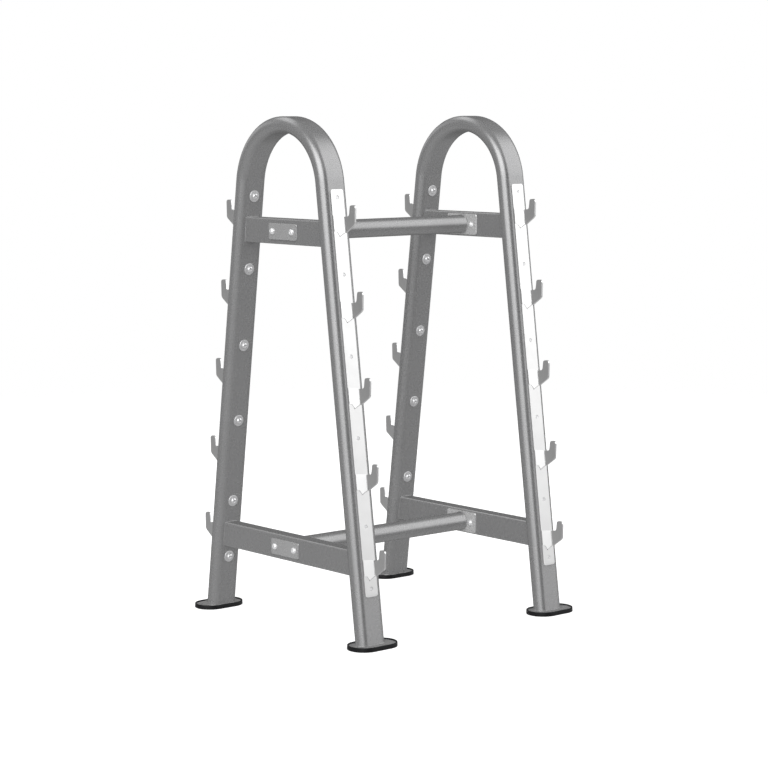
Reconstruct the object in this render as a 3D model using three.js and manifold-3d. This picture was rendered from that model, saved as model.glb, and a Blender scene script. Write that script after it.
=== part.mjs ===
// Barbell storage rack: two arched side frames of bent flat-oval tube, joined by
// two round tie tubes. Each leg carries a bolted-on strip with five bar hooks.
// Millimetres. X runs along the stored bars, Y from front (-Y) to back, Z up from the floor.
import * as THREE from 'three';
import { mergeVertices } from 'three/addons/utils/BufferGeometryUtils.js';
import Module from 'manifold-3d';

const wasm = await Module();
wasm.setup();

// Side frames
const rackHeight = 1614;
const frameSpacing = 757;
const footHalfSpread = 386;
const archRadius = 203;
const tubeWidth = 100;
const tubeDepth = 50;
const tubeWall = 3;

// Crossbars
const barHeight = 80;
const barThickness = 50;
const barWall = 3;
const barCornerRadius = 6;
const upperBarShare = 0.45;
const lowerBarShare = 0.583;

// Tie tubes and the plates that hold them
const tieDiameter = 60;
const tieWall = 3;
const endPlateLength = 138;
const endPlateHeight = 69;
const endPlateThickness = 7;
const backPlateLength = 138;
const backPlateHeight = 52;
const backPlateThickness = 5;
const plateCornerRadius = 7;
const tieBoltSpacing = 98;

// Hook strips
const stripWidth = 50;
const stripThickness = 5;
const stripCornerRadius = 8;
const stripTopGap = 23;
const stripFootGap = 154;
const stripBoltMargin = 25;
const stripBoltShares = [0, 0.197, 0.406, 0.615, 0.841, 1];

// Hooks
const hooksPerStrip = 5;
const frontFirstHookDrop = 85;
const frontLastHookRise = 110;
const backFirstHookDrop = 82;
const backLastHookRise = 122;
const cheekThickness = 7;
const flangeThickness = 3;
const hookReach = 55.7;
const hookTipRise = 31;
const saddleLength = 24.5;
const saddleRadius = 8;
const tipLength = 8;
const tipRoundDrop = 11;
const tipInnerSlope = 0.26;
const hookOuterSlope = 0.16;
const hookRootDrop = 51.5;
const hookKneeRun = 6;
const undersideSlope = 0.5;
const flangeVertexOffset = 5;
const flangeVertexDrop = 58;
const flangeStepOffset = 14.5;
const flangeStepDrop = 45;
const flangeEndDrop = 43;
const flangeTopRise = 6;

// Fasteners
const boltDiameter = 10;
const boltHoleClearance = 0.5;
const washerDiameter = 37;
const washerThickness = 3;
const headDiameter = 20;
const headHeight = 8;
const headRimHeight = 3;
const headCrownShare = 0.72;
const headCrownHeightShare = 0.8;
const socketAcrossCorners = 9.2;
const socketDepth = 4;
const boltTipInset = 1.5;

// Feet
const padLength = 170;
const padWidth = 106;
const padHeight = 14;
const padFloor = 5;
const padRim = 4.5;
const footPlateThickness = 5;
const footOutset = 11;

// Gaps where pieces meet, the bite of a hook's weld into its strip, and a cut's overrun
const weldGap = 0.3;
const seatGap = 0.3;
const weldBite = 0.2;
const overrun = 5;

// Facet counts
const archSteps = 16;
const ovalSteps = 4;
const tieTubeSteps = 10;
const cornerSteps = 2;
const barCornerSteps = 1;
const hookCurveSteps = 3;
const boltSides = 8;
const socketSides = 6;

// Sizes worked out from the ones above
const tubeRound = tubeDepth / 2;
const archCentreHeight = rackHeight - tubeRound - archRadius;
const footToArchCentre = Math.hypot(footHalfSpread, archCentreHeight);
const lean = Math.acos(archRadius / footToArchCentre) - Math.atan2(archCentreHeight, footHalfSpread);
const legLength = Math.sqrt(footToArchCentre ** 2 - archRadius ** 2);
const footPlateTop = padFloor + footPlateThickness;
const stripBottom = stripFootGap;
const stripTop = legLength - stripTopGap;
const stripInnerFace = tubeRound + seatGap;
const stripOuterFace = stripInnerFace + stripThickness;
const boltHoleRadius = boltDiameter / 2 + boltHoleClearance;
const stripBoltHeights = stripBoltShares.map((share) =>
  THREE.MathUtils.lerp(stripTop - stripBoltMargin, stripBottom + stripBoltMargin, share));
const barFaceX = barThickness / 2;

// Saddle heights of one strip's hooks, evenly spaced from the first to the last
function saddleHeights(firstHookDrop, lastHookRise) {
  const first = stripTop - firstHookDrop;
  const last = stripBottom + lastHookRise;
  return Array.from({ length: hooksPerStrip }, (_, index) =>
    THREE.MathUtils.lerp(first, last, index / (hooksPerStrip - 1)));
}

// Height above the floor of a point on a leg's inner flat, from its place along the leg
const innerFlatHeight = (place) => place * Math.cos(lean) - tubeRound * Math.sin(lean);
const boltLevels = stripBoltHeights.map(innerFlatHeight);
const lastBolt = boltLevels.length - 1;
const barLevels = {
  upper: THREE.MathUtils.lerp(boltLevels[0], boltLevels[1], upperBarShare),
  lower: THREE.MathUtils.lerp(boltLevels[lastBolt - 1], boltLevels[lastBolt], lowerBarShare),
};

// Finishes
function finish(color, roughness, metalness) {
  return () => new THREE.MeshStandardMaterial({ color, roughness, metalness });
}
const silverPaint = finish(0x9a9b9c, 0.42, 0.35);
const platePaint = finish(0xb0b1b2, 0.4, 0.35);
const brightPaint = finish(0xe4e5e6, 0.35, 0.2);
const chromePlate = finish(0xd6d7d8, 0.18, 1);
const blackRubber = finish(0x222324, 0.85, 0);

// Solids: a closed geometry becomes a manifold for cutting and joining, and back
function toSolid(geometry) {
  const bare = geometry.clone();
  bare.deleteAttribute('normal');
  bare.deleteAttribute('uv');
  const merged = mergeVertices(bare);
  return new wasm.Manifold(new wasm.Mesh({
    numProp: 3,
    vertProperties: new Float32Array(merged.attributes.position.array),
    triVerts: new Uint32Array(merged.index.array),
  }));
}

function toGeometry(solid) {
  const mesh = solid.getMesh();
  const geometry = new THREE.BufferGeometry();
  geometry.setAttribute('position', new THREE.BufferAttribute(new Float32Array(mesh.vertProperties), 3));
  geometry.setIndex(new THREE.BufferAttribute(new Uint32Array(mesh.triVerts), 1));
  return geometry;
}

function namedMesh(name, geometry, material) {
  const mesh = new THREE.Mesh(geometry, material());
  mesh.name = name;
  return mesh;
}

// Outlines
function flatOval(width, depth, Kind = THREE.Shape) {
  const radius = depth / 2;
  const reach = width / 2 - radius;
  const outline = new Kind();
  outline.absarc(reach, 0, radius, -Math.PI / 2, Math.PI / 2, false);
  outline.absarc(-reach, 0, radius, Math.PI / 2, 1.5 * Math.PI, false);
  outline.closePath();
  return outline;
}

function roundedBox(width, height, radius, Kind = THREE.Shape) {
  const reachX = width / 2 - radius;
  const reachY = height / 2 - radius;
  const outline = new Kind();
  outline.absarc(reachX, -reachY, radius, -Math.PI / 2, 0, false);
  outline.absarc(reachX, reachY, radius, 0, Math.PI / 2, false);
  outline.absarc(-reachX, reachY, radius, Math.PI / 2, Math.PI, false);
  outline.absarc(-reachX, -reachY, radius, Math.PI, 1.5 * Math.PI, false);
  outline.closePath();
  return outline;
}

function circle(radius, Kind = THREE.Shape) {
  const outline = new Kind();
  outline.absarc(0, 0, radius, 0, 2 * Math.PI, false);
  return outline;
}

// A prism of an outline, centred along Z
function prism(outline, length, curveSegments) {
  const options = { depth: length, bevelEnabled: false, curveSegments };
  return new THREE.ExtrudeGeometry(outline, options).translate(0, 0, -length / 2);
}

// A round cutter or bar along X or Y
const rodAlongY = (radius, length) => new THREE.CylinderGeometry(radius, radius, length, boltSides);
const rodAlongX = (radius, length) => rodAlongY(radius, length).rotateZ(Math.PI / 2);

// Leg space: X across the leg, Y outwards, Z up along its axis from the floor.
// The back leg is turned by 0 about Z and the front leg by half a turn.
const legTurns = { back: 0, front: Math.PI };

function legMatrix(turn) {
  return new THREE.Matrix4().makeRotationZ(turn)
    .multiply(new THREE.Matrix4().makeTranslation(0, footHalfSpread, 0))
    .multiply(new THREE.Matrix4().makeRotationX(lean));
}

// The axis of the bent tube, front foot to back foot, sampled where its section is set
class ArchAxis extends THREE.Curve {
  constructor() {
    super();
    this.stations = [this.footStation(-1)];
    for (let step = 0; step <= archSteps; step++) {
      const angle = THREE.MathUtils.lerp(Math.PI - lean, lean, step / archSteps);
      const outward = new THREE.Vector3(0, Math.cos(angle), Math.sin(angle));
      this.stations.push({
        point: new THREE.Vector3(0, 0, archCentreHeight).addScaledVector(outward, archRadius),
        tangent: new THREE.Vector3(0, Math.sin(angle), -Math.cos(angle)),
      });
    }
    this.stations.push(this.footStation(1));
  }

  footStation(side) {
    const tangent = new THREE.Vector3(0, Math.sin(lean), -side * Math.cos(lean));
    const foot = new THREE.Vector3(0, side * footHalfSpread, 0);
    return { point: foot.addScaledVector(tangent, side * tubeDepth), tangent };
  }

  station(share) {
    return this.stations[Math.round(share * (this.stations.length - 1))];
  }

  getPointAt(share, target = new THREE.Vector3()) {
    return target.copy(this.station(share).point);
  }

  getTangentAt(share, target = new THREE.Vector3()) {
    return target.copy(this.station(share).tangent);
  }
}

function archTube() {
  const section = flatOval(tubeWidth, tubeDepth);
  section.holes.push(flatOval(tubeWidth - 2 * tubeWall, tubeDepth - 2 * tubeWall, THREE.Path));
  const axis = new ArchAxis();
  let tube = toSolid(new THREE.ExtrudeGeometry(section, {
    steps: axis.stations.length - 1, extrudePath: axis, curveSegments: ovalSteps,
  }));
  const groundCut = new THREE.BoxGeometry(2 * tubeWidth, 4 * footHalfSpread, 4 * tubeDepth)
    .translate(0, 0, footPlateTop + weldGap - 2 * tubeDepth);
  tube = tube.subtract(toSolid(groundCut));
  for (const turn of Object.values(legTurns)) {
    for (const height of stripBoltHeights) {
      const hole = rodAlongY(boltHoleRadius, tubeDepth + 2 * overrun).translate(0, 0, height);
      tube = tube.subtract(toSolid(hole.applyMatrix4(legMatrix(turn))));
    }
  }
  return toGeometry(tube);
}

// A hollow bar between the legs' inner flats, drilled for the tie bolts
function crossbar(level) {
  const section = roundedBox(barThickness, barHeight, barCornerRadius);
  const boreWidth = barThickness - 2 * barWall;
  const boreHeight = barHeight - 2 * barWall;
  section.holes.push(roundedBox(boreWidth, boreHeight, barCornerRadius - barWall, THREE.Path));
  const bar = prism(section, 2 * footHalfSpread, barCornerSteps).rotateX(Math.PI / 2);
  const halfGap = (z) => footHalfSpread - z * Math.tan(lean) - (tubeRound + weldGap) / Math.cos(lean);
  const between = new THREE.Shape([
    new THREE.Vector2(-halfGap(level - barHeight), -barHeight),
    new THREE.Vector2(halfGap(level - barHeight), -barHeight),
    new THREE.Vector2(halfGap(level + barHeight), barHeight),
    new THREE.Vector2(-halfGap(level + barHeight), barHeight),
  ]);
  const legSpace = prism(between, 2 * barThickness).rotateX(Math.PI / 2).rotateZ(Math.PI / 2);
  return toGeometry(drilledForTie(toSolid(bar).intersect(toSolid(legSpace)), barThickness));
}

function drilledForTie(solid, thickness) {
  let drilled = solid;
  for (const side of [-1, 1]) {
    const hole = rodAlongX(boltHoleRadius, thickness + 2 * overrun);
    drilled = drilled.subtract(toSolid(hole.translate(0, side * tieBoltSpacing / 2, 0)));
  }
  return drilled;
}

// A plate square to X, drilled for the tie bolts
function tiePlate(length, height, thickness) {
  const plate = prism(roundedBox(height, length, plateCornerRadius), thickness, cornerSteps);
  return toGeometry(drilledForTie(toSolid(plate.rotateY(Math.PI / 2)), thickness));
}

function tieTube() {
  const ring = circle(tieDiameter / 2);
  ring.holes.push(circle(tieDiameter / 2 - tieWall, THREE.Path));
  const clearLength = frameSpacing - barThickness - 2 * endPlateThickness - 2 * weldGap;
  return prism(ring, clearLength, tieTubeSteps).rotateY(Math.PI / 2);
}

// Domed heads: a profile from the rim under the head to its crown, along +Y
function domeProfile(seat, direction) {
  const radius = headDiameter / 2;
  return [
    new THREE.Vector2(radius, seat),
    new THREE.Vector2(radius, seat + direction * headRimHeight),
    new THREE.Vector2(radius * headCrownShare, seat + direction * headHeight * headCrownHeightShare),
  ];
}

// A hexagonal socket cut into a head along +Y from the given crown
function socketCutter(crown) {
  const radius = socketAcrossCorners / 2;
  const cutter = new THREE.CylinderGeometry(radius, radius, socketDepth + overrun, socketSides);
  return toSolid(cutter.translate(0, crown + (socketDepth - overrun) / 2, 0));
}

// Bolt with its washer, along Y in leg space, from the socket head inside to its end in the strip
function stripBolt() {
  const seat = -tubeRound - seatGap;
  const washerTop = seat - washerThickness;
  const crown = washerTop - headHeight;
  const shank = boltDiameter / 2;
  const end = stripOuterFace - boltTipInset;
  const profile = [
    new THREE.Vector2(0, crown),
    ...domeProfile(washerTop, -1).reverse(),
    new THREE.Vector2(washerDiameter / 2, washerTop),
    new THREE.Vector2(washerDiameter / 2, seat),
    new THREE.Vector2(shank, seat),
    new THREE.Vector2(shank, end),
    new THREE.Vector2(0, end),
  ];
  const bolt = toSolid(new THREE.LatheGeometry(profile, boltSides));
  return toGeometry(bolt.subtract(socketCutter(crown)));
}

// Through bolt of a tie joint with its cap nut, along Y, head outside (-Y), nut inside (+Y)
function tieBolt() {
  const headSeat = -barFaceX - backPlateThickness - seatGap;
  const nutSeat = barFaceX + endPlateThickness + seatGap;
  const shank = boltDiameter / 2;
  const crown = headSeat - headHeight;
  const profile = [
    new THREE.Vector2(0, crown),
    ...domeProfile(headSeat, -1).reverse(),
    new THREE.Vector2(shank, headSeat),
    new THREE.Vector2(shank, nutSeat),
    ...domeProfile(nutSeat, 1),
    new THREE.Vector2(0, nutSeat + headHeight),
  ];
  const bolt = toSolid(new THREE.LatheGeometry(profile, boltSides));
  return toGeometry(bolt.subtract(socketCutter(crown)));
}

// Outline of a hook's cheek: X outwards from the strip's face, Y up from the saddle's floor
function cheekOutline() {
  const shoulderRise = hookTipRise - tipRoundDrop;
  const innerAt = (rise) => saddleLength + rise * tipInnerSlope;
  const outerAt = (rise) => hookReach + (rise - shoulderRise) * hookOuterSlope;
  const undersideAt = (reach) => reach * undersideSlope - hookRootDrop;
  const kneeReach = (hookReach - (hookRootDrop + shoulderRise) * hookOuterSlope)
    / (1 - undersideSlope * hookOuterSlope);
  const kneeRise = undersideAt(kneeReach);
  const tipBack = innerAt(hookTipRise) + tipLength;
  const outline = new THREE.Shape();
  outline.moveTo(0, 0);
  outline.lineTo(0, -hookRootDrop);
  outline.lineTo(kneeReach - hookKneeRun, undersideAt(kneeReach - hookKneeRun));
  outline.quadraticCurveTo(kneeReach, kneeRise, outerAt(kneeRise + hookKneeRun), kneeRise + hookKneeRun);
  outline.lineTo(hookReach, shoulderRise);
  outline.quadraticCurveTo(outerAt(hookTipRise), hookTipRise, tipBack, hookTipRise);
  outline.lineTo(innerAt(hookTipRise), hookTipRise);
  outline.lineTo(innerAt(saddleRadius), saddleRadius);
  outline.quadraticCurveTo(saddleLength, 0, saddleLength - saddleRadius, 0);
  outline.closePath();
  return outline;
}

// Outline of a hook's flange: X across the strip, Y up, the cheek at the -X edge
function flangeOutline() {
  const edge = stripWidth / 2;
  const cheekEdgeDrop = flangeVertexDrop - (flangeVertexOffset + edge) * undersideSlope;
  return new THREE.Shape([
    new THREE.Vector2(-edge, 0),
    new THREE.Vector2(-edge, -cheekEdgeDrop),
    new THREE.Vector2(flangeVertexOffset, -flangeVertexDrop),
    new THREE.Vector2(flangeStepOffset, -flangeStepDrop),
    new THREE.Vector2(edge, -flangeEndDrop),
    new THREE.Vector2(edge, flangeTopRise),
  ]);
}

// A hook of two welded plates: its flange lies on the strip, its cheek stands out at the strip's -X edge
function hook() {
  const edge = stripWidth / 2;
  const flange = prism(flangeOutline(), flangeThickness)
    .rotateX(Math.PI / 2).translate(0, flangeThickness / 2, 0);
  const cheek = prism(cheekOutline(), cheekThickness, hookCurveSteps)
    .rotateX(Math.PI / 2).rotateZ(Math.PI / 2).translate(-edge + cheekThickness / 2, 0, 0);
  return toSolid(flange).add(toSolid(cheek));
}

// A strip in leg space with its five hooks welded on
function hookStrip(saddles) {
  const length = stripTop - stripBottom;
  const plate = prism(roundedBox(stripWidth, length, stripCornerRadius), stripThickness, cornerSteps)
    .rotateX(Math.PI / 2)
    .translate(0, stripInnerFace + stripThickness / 2, (stripTop + stripBottom) / 2);
  let strip = toSolid(plate);
  for (const height of stripBoltHeights) {
    const hole = rodAlongY(boltHoleRadius, stripThickness + 2 * overrun);
    strip = strip.subtract(toSolid(hole.translate(0, stripInnerFace, height)));
  }
  for (const height of saddles) {
    strip = strip.add(hook().translate([0, stripOuterFace - weldBite, height]));
  }
  return toGeometry(strip);
}

function footPlate() {
  const length = padLength - 2 * padRim - 2 * seatGap;
  const width = padWidth - 2 * padRim - 2 * seatGap;
  return prism(flatOval(length, width), footPlateThickness, ovalSteps)
    .translate(0, 0, padFloor + footPlateThickness / 2);
}

// Rubber pad with a rim that stands round the foot plate
function footPad() {
  const pad = prism(flatOval(padLength, padWidth), padHeight, ovalSteps).translate(0, 0, padHeight / 2);
  const recess = prism(flatOval(padLength - 2 * padRim, padWidth - 2 * padRim), padHeight, ovalSteps)
    .translate(0, 0, padFloor + padHeight / 2);
  return toGeometry(toSolid(pad).subtract(toSolid(recess)));
}

// Assembly
const shapes = {
  arch: archTube(),
  upper: crossbar(barLevels.upper),
  lower: crossbar(barLevels.lower),
  endPlate: tiePlate(endPlateLength, endPlateHeight, endPlateThickness),
  backPlate: tiePlate(backPlateLength, backPlateHeight, backPlateThickness),
  tieTube: tieTube(),
  stripBolt: stripBolt(),
  tieBolt: tieBolt(),
  frontStrip: hookStrip(saddleHeights(frontFirstHookDrop, frontLastHookRise)),
  backStrip: hookStrip(saddleHeights(backFirstHookDrop, backLastHookRise)),
  footPlate: footPlate(),
  footPad: footPad(),
};

// One leg's strip and bolts in leg space, and its foot flat on the floor
function legPieces(frameName, legName) {
  const label = `${frameName}_${legName}`;
  const leg = new THREE.Group();
  leg.position.y = footHalfSpread;
  leg.rotation.x = lean;
  leg.add(namedMesh(`hook_strip_${label}`, shapes[`${legName}Strip`], brightPaint));
  stripBoltHeights.forEach((height, index) => {
    const bolt = namedMesh(`strip_bolt_${label}_${index + 1}`, shapes.stripBolt, chromePlate);
    bolt.position.z = height;
    leg.add(bolt);
  });
  const foot = new THREE.Group();
  foot.position.y = footHalfSpread + footOutset;
  foot.add(namedMesh(`foot_plate_${label}`, shapes.footPlate, silverPaint));
  foot.add(namedMesh(`foot_pad_${label}`, shapes.footPad, blackRubber));
  const turned = new THREE.Group();
  turned.rotation.z = legTurns[legName];
  turned.add(leg, foot);
  return turned;
}

// The crossbar of one level with its tie joint: inward is the side that faces the other frame
function crossbarPieces(frameName, levelName, inward) {
  const label = `${levelName}_${frameName}`;
  const level = new THREE.Group();
  level.position.z = barLevels[levelName];
  level.add(namedMesh(`crossbar_${label}`, shapes[levelName], silverPaint));
  const endPlate = namedMesh(`tie_end_plate_${label}`, shapes.endPlate, platePaint);
  endPlate.position.x = inward * (barFaceX + endPlateThickness / 2);
  const backPlate = namedMesh(`backing_plate_${label}`, shapes.backPlate, platePaint);
  backPlate.position.x = -inward * (barFaceX + backPlateThickness / 2);
  level.add(endPlate, backPlate);
  for (const [boltName, side] of [['front', -1], ['back', 1]]) {
    const bolt = namedMesh(`tie_bolt_${label}_${boltName}`, shapes.tieBolt, chromePlate);
    bolt.rotation.z = -inward * Math.PI / 2;
    bolt.position.y = side * tieBoltSpacing / 2;
    level.add(bolt);
  }
  return level;
}

function sideFrame(frameName, side) {
  const frame = new THREE.Group();
  frame.position.x = side * frameSpacing / 2;
  frame.add(namedMesh(`arch_tube_${frameName}`, shapes.arch, silverPaint));
  for (const levelName of Object.keys(barLevels)) {
    frame.add(crossbarPieces(frameName, levelName, -side));
  }
  for (const legName of Object.keys(legTurns)) {
    frame.add(legPieces(frameName, legName));
  }
  return frame;
}

const rack = new THREE.Group();
rack.name = 'barbell_storage_rack';
rack.add(sideFrame('left', -1), sideFrame('right', 1));
for (const [levelName, level] of Object.entries(barLevels)) {
  const tie = namedMesh(`tie_tube_${levelName}`, shapes.tieTube, silverPaint);
  tie.position.z = level;
  rack.add(tie);
}

export default rack;
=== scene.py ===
"""Looks of a barbell storage rack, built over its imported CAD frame.

Metres, in the frame of the CAD: X along the stored bars, Y from front to back, Z up from the floor.
"""
import math

import bmesh
import bpy
from mathutils import Matrix, Vector


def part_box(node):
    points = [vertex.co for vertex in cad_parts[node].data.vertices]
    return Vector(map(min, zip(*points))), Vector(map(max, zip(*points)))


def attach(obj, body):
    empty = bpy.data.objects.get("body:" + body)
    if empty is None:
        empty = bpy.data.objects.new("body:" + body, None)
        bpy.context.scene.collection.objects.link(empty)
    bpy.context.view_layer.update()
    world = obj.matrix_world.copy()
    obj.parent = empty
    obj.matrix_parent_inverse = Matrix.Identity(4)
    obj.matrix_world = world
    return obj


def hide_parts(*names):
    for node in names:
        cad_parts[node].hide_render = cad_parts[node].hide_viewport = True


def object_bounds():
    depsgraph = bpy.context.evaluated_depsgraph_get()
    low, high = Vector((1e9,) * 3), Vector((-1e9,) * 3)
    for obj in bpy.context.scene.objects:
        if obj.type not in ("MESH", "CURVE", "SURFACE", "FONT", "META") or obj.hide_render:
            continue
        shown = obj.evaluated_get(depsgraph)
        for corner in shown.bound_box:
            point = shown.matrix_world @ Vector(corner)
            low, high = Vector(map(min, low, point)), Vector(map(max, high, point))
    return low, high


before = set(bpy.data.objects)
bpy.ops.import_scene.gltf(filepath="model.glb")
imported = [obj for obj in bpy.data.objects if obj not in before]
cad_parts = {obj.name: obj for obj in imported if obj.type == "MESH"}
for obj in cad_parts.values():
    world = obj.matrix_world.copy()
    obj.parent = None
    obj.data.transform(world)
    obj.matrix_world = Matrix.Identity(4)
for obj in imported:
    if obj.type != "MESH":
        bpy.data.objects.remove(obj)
CAD_LOW, CAD_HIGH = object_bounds()

MM = 0.001

# Side frames
FOOT_HALF_SPREAD = 386 * MM
ARCH_RADIUS = 203 * MM
TUBE_WIDTH = 100 * MM
TUBE_DEPTH = 50 * MM
TUBE_WALL = 3 * MM
LEG_STATIONS = (0, 0.2, 0.4, 0.6, 0.8)

# Crossbars, tie tubes and plates
BAR_HEIGHT = 80 * MM
BAR_THICKNESS = 50 * MM
BAR_CORNER = 6 * MM
TIE_RADIUS = 30 * MM
TIE_WALL = 3 * MM
END_PLATE = (138 * MM, 69 * MM, 7 * MM)
BACK_PLATE = (138 * MM, 52 * MM, 5 * MM)
PLATE_CORNER = 7 * MM
PLATE_EDGE = 1.2 * MM
TIE_BOLT_SPACING = 98 * MM

# Hook strips
STRIP_WIDTH = 50 * MM
STRIP_THICKNESS = 5 * MM
STRIP_CORNER = 8 * MM
STRIP_EDGE = 0.7 * MM
STRIP_TOP_GAP = 23 * MM
STRIP_FOOT_GAP = 154 * MM
STRIP_BOLT_MARGIN = 25 * MM
STRIP_BOLT_SHARES = (0, 0.197, 0.406, 0.615, 0.841, 1)
STRIP_SEAT_GAP = 0.3 * MM

# Hooks
HOOKS_PER_STRIP = 5
FIRST_HOOK_DROP = {"front": 85 * MM, "back": 82 * MM}
LAST_HOOK_RISE = {"front": 110 * MM, "back": 122 * MM}
CHEEK_THICKNESS = 7 * MM
FLANGE_THICKNESS = 3 * MM
CHEEK_EDGE = 0.9 * MM
FLANGE_EDGE = 0.5 * MM
HOOK_REACH = 55.7 * MM
HOOK_TIP_RISE = 31 * MM
SADDLE_LENGTH = 24.5 * MM
SADDLE_RADIUS = 8 * MM
TIP_LENGTH = 8 * MM
TIP_ROUND_DROP = 11 * MM
TIP_CORNER = 5.5 * MM
TIP_INNER_SLOPE = 0.26
HOOK_OUTER_SLOPE = 0.16
HOOK_ROOT_DROP = 51.5 * MM
HOOK_KNEE_RUN = 6 * MM
UNDERSIDE_SLOPE = 0.5
FLANGE_VERTEX_OFFSET = 5 * MM
FLANGE_VERTEX_DROP = 58 * MM
FLANGE_STEP_OFFSET = 14.5 * MM
FLANGE_STEP_DROP = 45 * MM
FLANGE_END_DROP = 43 * MM
FLANGE_TOP_RISE = 6 * MM

# Bolts and washers
BOLT_RADIUS = 5 * MM
BOLT_HOLE_RADIUS = 5.5 * MM
BOLT_TIP_INSET = 0.4 * MM
BOLT_TIP_CHAMFER = 0.4 * MM
BOLT_DIMPLE_RADIUS = 2 * MM
BOLT_DIMPLE_DEPTH = 1.6 * MM
WASHER_RADIUS = 18.5 * MM
WASHER_THICKNESS = 3 * MM
WASHER_EDGE = 0.6 * MM
HEAD_RADIUS = 10 * MM
HEAD_HEIGHT = 8 * MM
HEAD_RIM = 1.6 * MM
HEAD_SEAT_EDGE = 0.3 * MM
SOCKET_ACROSS_FLATS = 8 * MM
SOCKET_DEPTH = 4 * MM
SOCKET_LIP = 0.35 * MM
HOLLOW_TIP_SHARE = 0.1

# Cap nuts
NUT_ACROSS_FLATS = 17 * MM
NUT_HEIGHT = 4 * MM
NUT_CHAMFER = 0.4 * MM
NUT_CHAMFER_RISE = 0.8 * MM
CAP_HEIGHT = HEAD_HEIGHT - NUT_HEIGHT
CAP_INSET = 1 * MM
CAP_TOP_ANGLE = 82
HEXAGON_SIDE_ANGLE = math.radians(60)

# Feet
PAD_LENGTH = 170 * MM
PAD_WIDTH = 106 * MM
PAD_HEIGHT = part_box("foot_pad_left_front")[1].z
PAD_FLOOR = 5 * MM
PAD_RIM = 4.5 * MM
FOOT_PLATE_THICKNESS = 5 * MM
FOOT_PLATE_GAP = 0.3 * MM
FOOT_PLATE_EDGE = 0.8 * MM

# A pad's wall from its foot up its side, over its rim and down inside: inset and height of each point
PAD_WALL = (
    (1.0 * MM, 0),
    (0.2 * MM, 0.4 * MM),
    (0, 1.2 * MM),
    (0.3 * MM, PAD_HEIGHT - 1.3 * MM),
    (0.6 * MM, PAD_HEIGHT - 0.4 * MM),
    (1.4 * MM, PAD_HEIGHT),
    (PAD_RIM - 1.2 * MM, PAD_HEIGHT),
    (PAD_RIM - 0.3 * MM, PAD_HEIGHT - 0.4 * MM),
    (PAD_RIM, PAD_HEIGHT - 1.2 * MM),
    (PAD_RIM, PAD_FLOOR),
)

# Weld beads
BAR_BEAD = 1.8 * MM
TIE_BEAD = 2.4 * MM
FOOT_BEAD = 1.8 * MM
HOOK_BEAD = 2.8 * MM
CHEEK_BEAD = 2.8 * MM
BEAD_RIPPLE = 2.6 * MM
BEAD_SWELL = 0.10
BEAD_PHASE = 0.8
BEAD_MIN_RIPPLES = 8
STEPS_PER_RIPPLE = 4

# Sides and steps that round shapes are divided into
TURNED_SIDES = 48
TIE_TUBE_SIDES = 64
HOLE_SIDES = 32
BEAD_SIDES = 10
TUBE_END_STEPS = 16
FOOT_END_STEPS = 24
FOOT_BEAD_END_STEPS = 12
BEND_STEPS = 56
CORNER_STEPS = 6
DOME_STEPS = 8
KNEE_STEPS = 6
TIP_STEPS = 8
TIP_CORNER_STEPS = 5
SADDLE_STEPS = 8
BEVEL_STEPS = 2

# Angles between two faces from which their edge is bevelled, or shaded as a sharp one
BEVEL_FROM = math.radians(40)
SHARP_FROM = math.radians(25)
PAD_SHARP_FROM = math.radians(50)

# Places worked out from the sizes and the frame
TUBE_ROUND = TUBE_DEPTH / 2
ARCH_CENTRE = CAD_HIGH.z - TUBE_ROUND - ARCH_RADIUS
FOOT_TO_CENTRE = math.hypot(FOOT_HALF_SPREAD, ARCH_CENTRE)
LEAN = math.acos(ARCH_RADIUS / FOOT_TO_CENTRE) - math.atan2(ARCH_CENTRE, FOOT_HALF_SPREAD)
LEG_LENGTH = math.sqrt(FOOT_TO_CENTRE**2 - ARCH_RADIUS**2)
STRIP_BOTTOM = STRIP_FOOT_GAP
STRIP_TOP = LEG_LENGTH - STRIP_TOP_GAP
STRIP_INNER_FACE = TUBE_ROUND + STRIP_SEAT_GAP
STRIP_OUTER_FACE = STRIP_INNER_FACE + STRIP_THICKNESS
HOOK_SHOULDER = HOOK_TIP_RISE - TIP_ROUND_DROP
FOOT_TOP = PAD_FLOOR + FOOT_PLATE_THICKNESS
LEG_TURNS = {"back": 0, "front": math.pi}
END_SIDES = {"front": -1, "back": 1}
INWARD = {"left": 1, "right": -1}
LEVELS = ("upper", "lower")


def lerp(start, end, share):
    return start + (end - start) * share


def box_centre(node):
    low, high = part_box(node)
    return (low + high) / 2


def leg_matrix(frame_name, leg_name):
    """Leg space: X across the leg, Y outwards, Z up along its axis from the floor."""
    return (
        Matrix.Translation((box_centre(f"arch_tube_{frame_name}").x, 0, 0))
        @ Matrix.Rotation(LEG_TURNS[leg_name], 4, "Z")
        @ Matrix.Translation((0, FOOT_HALF_SPREAD, 0))
        @ Matrix.Rotation(LEAN, 4, "X")
    )


def bolt_places():
    return [
        lerp(STRIP_TOP - STRIP_BOLT_MARGIN, STRIP_BOTTOM + STRIP_BOLT_MARGIN, share)
        for share in STRIP_BOLT_SHARES
    ]


def saddle_places(leg_name):
    first = STRIP_TOP - FIRST_HOOK_DROP[leg_name]
    last = STRIP_BOTTOM + LAST_HOOK_RISE[leg_name]
    return [lerp(first, last, i / (HOOKS_PER_STRIP - 1)) for i in range(HOOKS_PER_STRIP)]


# Outlines, as lists of points in a plane


def arc(centre, radius, start, end, steps):
    """Points on an arc, angles in degrees, both ends included."""
    angles = [math.radians(lerp(start, end, i / steps)) for i in range(steps + 1)]
    return [(centre[0] + radius * math.cos(a), centre[1] + radius * math.sin(a)) for a in angles]


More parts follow.
